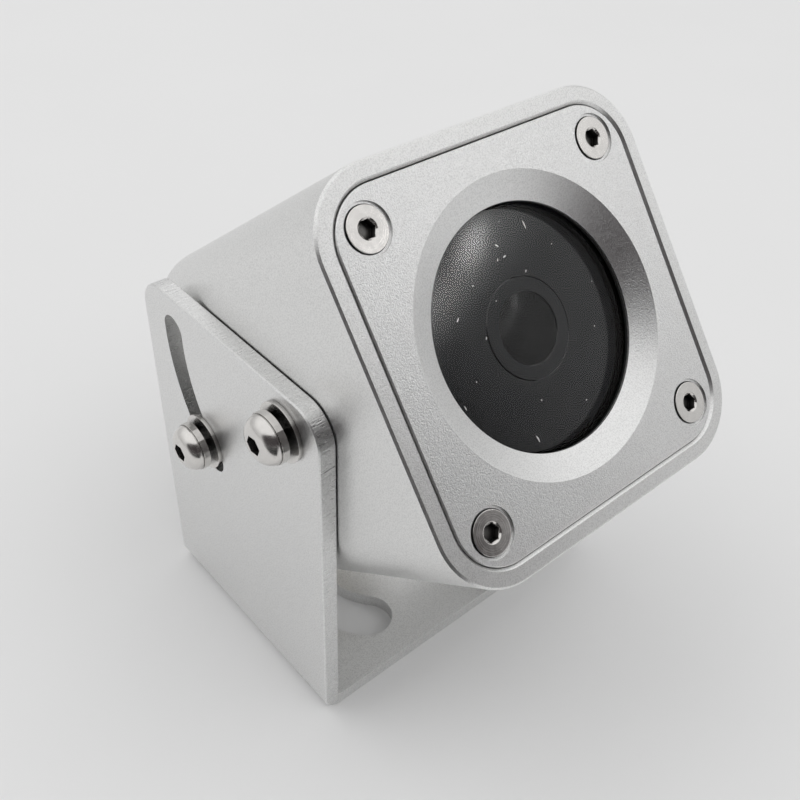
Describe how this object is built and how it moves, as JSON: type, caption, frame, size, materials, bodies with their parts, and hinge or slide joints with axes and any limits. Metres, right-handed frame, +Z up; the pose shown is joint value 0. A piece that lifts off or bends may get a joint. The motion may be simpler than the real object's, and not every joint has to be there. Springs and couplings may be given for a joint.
{
  "type": "vehicle camera",
  "caption": "Square metal camera head with a round flush window, tilting between the arms of a folded U-shaped bracket with slotted base.",
  "frame": {"origin": "middle of the underside of the bracket's base, on the axis of its centre hole", "axes": "+X along the tilt axis to the side that lies on the right when one faces the lens, -Y is where the lens looks, +Z up from the base"},
  "size_m": [0.0546, 0.0591, 0.0711],
  "materials": {
    "bracket_metal": "bead-blasted, clear anodised",
    "housing_metal": "bead-blasted, clear anodised",
    "plate_metal": "bead-blasted, clear anodised",
    "screw_steel": "turned stainless steel",
    "washer_steel": "stamped stainless steel",
    "black_metal": "black anodised, matt",
    "seal_rubber": "matt",
    "window_glass": "clear, coated",
    "lens_glass": "clear, coated",
    "filter_glass": "tinted",
    "holder_plastic": "moulded, matt",
    "board_laminate": "solder mask",
    "chip_package": "moulded",
    "connector_plastic": "moulded",
    "capacitor_can": "drawn can",
    "ferrite": "sintered, matt",
    "standoff_brass": "turned",
    "gland_metal": "nickel-plated"
  },
  "bodies": {
    "bracket": {"bracket": "bracket_metal"},
    "camera_head": {"housing": "housing_metal", "front_plate": "plate_metal", "front_gasket": "seal_rubber", "window_seal": "seal_rubber", "window_glass": "window_glass", "lens_shroud": "black_metal", "lens_barrel": "black_metal", "lens_front_element": "lens_glass", "lens_middle_element": "lens_glass", "lens_rear_element": "lens_glass", "lens_lock_ring": "black_metal", "lens_holder": "holder_plastic", "holder_screws": "screw_steel", "infrared_filter": "filter_glass", "image_sensor": "chip_package", "sensor_board": "board_laminate", "board_screws": "screw_steel", "front_standoffs": "standoff_brass", "power_board": "board_laminate", "rear_standoffs": "standoff_brass", "board_link": "connector_plastic", "wire_connector": "connector_plastic", "power_inductor": "ferrite", "power_capacitors": "capacitor_can", "gland_body": "gland_metal", "gland_ring": "seal_rubber", "gland_locknut": "gland_metal", "gland_seal": "seal_rubber", "gland_nut": "gland_metal", "plate_screw_top_left": "screw_steel", "plate_screw_top_right": "screw_steel", "plate_screw_bottom_left": "screw_steel", "plate_screw_bottom_right": "screw_steel", "pivot_screw_left": "screw_steel", "pivot_spring_washer_left": "washer_steel", "pivot_flat_washer_left": "washer_steel", "pivot_screw_right": "screw_steel", "pivot_spring_washer_right": "washer_steel", "pivot_flat_washer_right": "washer_steel", "lock_screw_left": "screw_steel", "lock_spring_washer_left": "washer_steel", "lock_flat_washer_left": "washer_steel", "lock_screw_right": "screw_steel", "lock_spring_washer_right": "washer_steel", "lock_flat_washer_right": "washer_steel"}
  },
  "joints": [
    {"name": "tilt", "type": "hinge", "parent": "bracket", "child": "camera_head", "pos_m": [0, -0.0108, 0.0441], "axis": [1, 0, 0], "range_deg": [-6.5, 39.5]}
  ]
}
